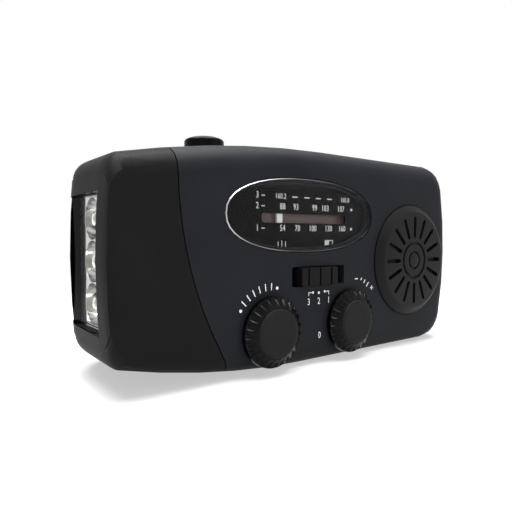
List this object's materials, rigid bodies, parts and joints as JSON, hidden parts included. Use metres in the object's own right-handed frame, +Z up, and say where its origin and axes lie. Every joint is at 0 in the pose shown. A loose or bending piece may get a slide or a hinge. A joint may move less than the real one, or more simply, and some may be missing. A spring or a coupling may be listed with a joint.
{
  "type": "wind-up emergency radio",
  "caption": "Hand-cranked portable radio with a torch in one end, a round speaker grille, a dial window, two knobs, a band slider, a folding crank, a solar panel and a telescopic aerial.",
  "frame": {"origin": "on the flat base, midway between the front and the back and below the middle of the body's length", "axes": "+Z up, -Y towards the dial side, -X towards the torch, +X towards the speaker"},
  "size_m": [0.1277, 0.0516, 0.0642],
  "materials": {
    "casing_plastic": "fine matte spark texture",
    "cap_plastic": "fine matte",
    "knob_plastic": "satin with glossy flutes",
    "glossy_plastic": "polished",
    "clear_plastic": "clear polished",
    "lamp_plastic": "clear epoxy",
    "silver_coating": "vacuum-coated mirror",
    "board_laminate": "solder mask",
    "grey_plastic": "moulded",
    "dial_print": "printed black",
    "red_bar": "moulded",
    "white_plastic": "moulded",
    "gear_plastic": "moulded",
    "plated_steel": "plated",
    "cone_paper": "pressed paper",
    "ferrite": "sintered",
    "copper_wire": "lacquered winding",
    "cell_wrap": "shrink sleeve",
    "chrome_plate": "polished",
    "solar_cell": "dark blue silicon",
    "cover_rubber": "matte"
  },
  "bodies": {
    "casing": {"front_shell": "casing_plastic", "rear_shell": "casing_plastic", "torch_cap": "cap_plastic", "torch_lens": "clear_plastic", "torch_reflector": "silver_coating", "torch_led_1": "lamp_plastic", "torch_led_2": "lamp_plastic", "torch_led_3": "lamp_plastic", "torch_board": "board_laminate", "torch_switch": "grey_plastic", "dial_lens": "clear_plastic", "dial_plate": "dial_print", "dial_backing": "red_bar", "tuning_capacitor": "grey_plastic", "volume_control": "plated_steel", "band_switch": "plated_steel", "speaker_grille": "casing_plastic", "speaker_frame": "plated_steel", "speaker_cone": "cone_paper", "speaker_magnet": "plated_steel", "main_board": "board_laminate", "ferrite_rod": "ferrite", "ferrite_coil": "copper_wire", "battery_cell_1": "cell_wrap", "battery_cell_2": "cell_wrap", "battery_cell_3": "cell_wrap", "generator_body": "plated_steel", "solar_panel": "solar_cell", "solar_cover": "clear_plastic", "usb_socket": "plated_steel", "charge_socket": "grey_plastic", "shell_screw_1": "plated_steel", "shell_screw_2": "plated_steel", "shell_screw_3": "plated_steel", "shell_screw_4": "plated_steel"},
    "torch_button": {"torch_button": "glossy_plastic"},
    "tuning_knob": {"tuning_knob": "knob_plastic", "tuning_shaft": "gear_plastic"},
    "tuning_idler_gear": {"tuning_idler_gear": "gear_plastic"},
    "tuning_capacitor_gear": {"tuning_capacitor_gear": "gear_plastic"},
    "dial_pointer": {"dial_pointer": "white_plastic"},
    "volume_knob": {"volume_knob": "knob_plastic", "volume_shaft": "gear_plastic"},
    "band_slider": {"band_slider": "knob_plastic"},
    "crank_hub": {"crank_hub": "knob_plastic", "crank_gear": "gear_plastic", "crank_hinge_pin": "plated_steel"},
    "compound_gear": {"compound_gear": "gear_plastic"},
    "generator_rotor": {"generator_rotor": "plated_steel"},
    "crank_arm": {"crank_arm": "knob_plastic", "crank_knob_pin": "plated_steel"},
    "crank_knob": {"crank_knob": "knob_plastic"},
    "antenna_base": {"antenna_base": "chrome_plate"},
    "antenna_section_1": {"antenna_section_1": "chrome_plate"},
    "antenna_section_2": {"antenna_section_2": "chrome_plate"},
    "antenna_section_3": {"antenna_section_3": "chrome_plate"},
    "port_cover": {"port_cover": "cover_rubber"},
    "battery_door": {"battery_door": "casing_plastic"}
  },
  "joints": [
    {"name": "torch_press", "type": "slide", "parent": "casing", "child": "torch_button", "axis": [0, 0, -1], "range_m": [0, 0.002], "stiffness_N_per_m": 400},
    {"name": "tuning_turn", "type": "hinge", "parent": "casing", "child": "tuning_knob", "pos_m": [-0.0201, -0.0225, 0.0114], "axis": [0, 1, 0], "range_deg": [-68, 278]},
    {"name": "idler_turn", "type": "hinge", "parent": "casing", "child": "tuning_idler_gear", "pos_m": [-0.02907, -0.0179, 0.01742], "axis": [0, 1, 0], "range_deg": [-222.5, 54.5]},
    {"name": "capacitor_turn", "type": "hinge", "parent": "casing", "child": "tuning_capacitor_gear", "pos_m": [-0.0185, -0.0179, 0.0266], "axis": [0, 1, 0], "range_deg": [-40.9, 166.9]},
    {"name": "pointer_slide", "type": "slide", "parent": "casing", "child": "dial_pointer", "axis": [1, 0, 0], "range_m": [-0.0057, 0.0233]},
    {"name": "volume_turn", "type": "hinge", "parent": "casing", "child": "volume_knob", "pos_m": [0.00985, -0.0225, 0.0114], "axis": [0, 1, 0], "range_deg": [0, 270]},
    {"name": "band_slide", "type": "slide", "parent": "casing", "child": "band_slider", "axis": [1, 0, 0], "range_m": [-0.002, 0.003]},
    {"name": "crank_spin", "type": "hinge", "parent": "casing", "child": "crank_hub", "pos_m": [0.027, 0.0068, 0.0305], "axis": [0, 1, 0], "continuous": true},
    {"name": "compound_spin", "type": "hinge", "parent": "casing", "child": "compound_gear", "pos_m": [0.00846, 0.002, 0.02301], "axis": [0, 1, 0], "continuous": true},
    {"name": "rotor_spin", "type": "hinge", "parent": "casing", "child": "generator_rotor", "pos_m": [-0.00804, 0, 0.0189], "axis": [0, 1, 0], "continuous": true},
    {"name": "crank_fold", "type": "hinge", "parent": "crank_hub", "child": "crank_arm", "pos_m": [0.018, 0.0234, 0.0305], "axis": [0, 0, 1], "range_deg": [0, 180]},
    {"name": "crank_knob_spin", "type": "hinge", "parent": "crank_arm", "child": "crank_knob", "pos_m": [0.0427, 0.015, 0.0305], "axis": [0, 1, 0], "continuous": true},
    {"name": "antenna_swivel", "type": "hinge", "parent": "casing", "child": "antenna_base", "pos_m": [0.054, 0.0194, 0.0579], "axis": [0, 0, 1], "range_deg": [-180, 0]},
    {"name": "antenna_raise", "type": "hinge", "parent": "antenna_base", "child": "antenna_section_1", "pos_m": [0.054, 0.0194, 0.0579], "axis": [0, 1, 0], "range_deg": [0, 90]},
    {"name": "antenna_slide_1", "type": "slide", "parent": "antenna_section_1", "child": "antenna_section_2", "axis": [-1, 0, 0], "range_m": [0, 0.066]},
    {"name": "antenna_slide_2", "type": "slide", "parent": "antenna_section_2", "child": "antenna_section_3", "axis": [-1, 0, 0], "range_m": [0, 0.066]},
    {"name": "port_cover_open", "type": "hinge", "parent": "casing", "child": "port_cover", "pos_m": [0.0624, -0.002, 0.0181], "axis": [0, 1, 0], "range_deg": [0, 90]},
    {"name": "battery_door_lift", "type": "slide", "parent": "casing", "child": "battery_door", "axis": [0, 1, 0], "range_m": [0, 0.02]}
  ],
  "couplings": [
    {"joint": "idler_turn", "follows": "tuning_turn", "ratio": -0.8},
    {"joint": "capacitor_turn", "follows": "tuning_turn", "ratio": 0.6},
    {"joint": "pointer_slide", "follows": "tuning_turn", "m_per_rad": 0.0048},
    {"joint": "compound_spin", "follows": "crank_spin", "ratio": -3},
    {"joint": "rotor_spin", "follows": "crank_spin", "ratio": 7.2}
  ]
}
